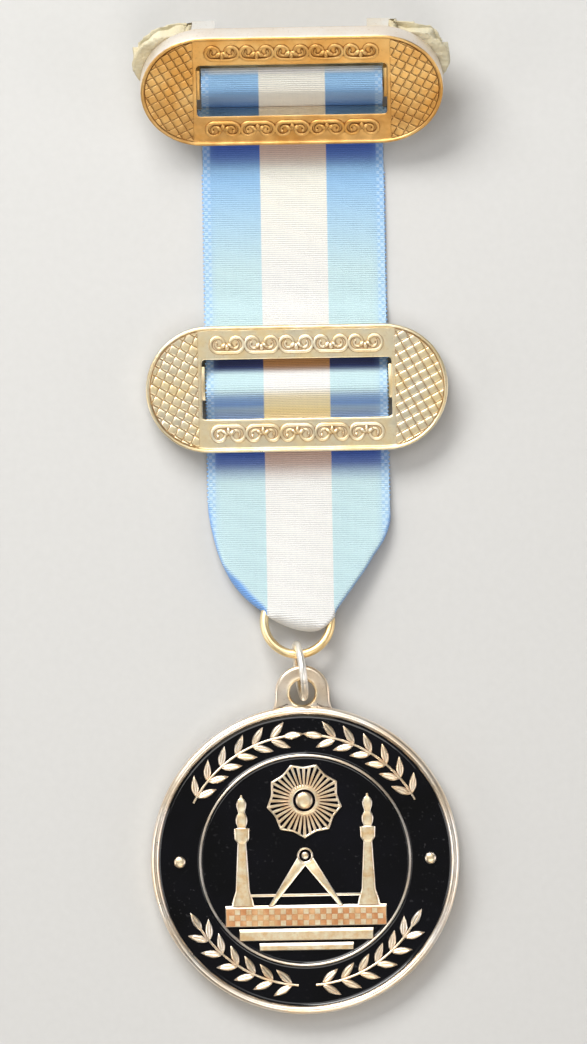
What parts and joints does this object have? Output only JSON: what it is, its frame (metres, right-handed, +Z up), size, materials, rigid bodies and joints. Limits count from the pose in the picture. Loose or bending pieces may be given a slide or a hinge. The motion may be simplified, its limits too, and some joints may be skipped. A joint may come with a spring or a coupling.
{
  "type": "masonic jewel with a foam backing pad",
  "caption": "Round enamelled disc hung by a jump ring and a ring from a striped ribbon, with an oval slide bar and an oval brooch bar propped on its foam pad and pin.",
  "frame": {"origin": "on the surface that it lies on, under the middle of the whole jewel", "axes": "+Y along the ribbon from the disc to the brooch bar, +Z up out of the face, +X to the right seen from the face"},
  "size_m": [0.0438, 0.1376, 0.0135],
  "materials": {
    "deep_gilt": "bright gilt casting, worn on its high edges",
    "pale_gilt": "pale gilt casting, satin face and bright rim",
    "plated_wire": "bright plated wire",
    "enamel": "glossy black enamel",
    "ribbon": "fine ribbed weave, light blue, white and light blue stripes",
    "foam": "cream foam with torn edges"
  },
  "bodies": {
    "root": {"top_bar": "deep_gilt", "middle_bar": "pale_gilt", "ribbon": "ribbon", "suspension_ring": "deep_gilt", "jump_ring": "plated_wire", "medal": "pale_gilt", "enamel_border": "enamel", "enamel_field": "enamel", "backing_pad": "foam", "brooch_pin": "plated_wire"}
  },
  "joints": []
}
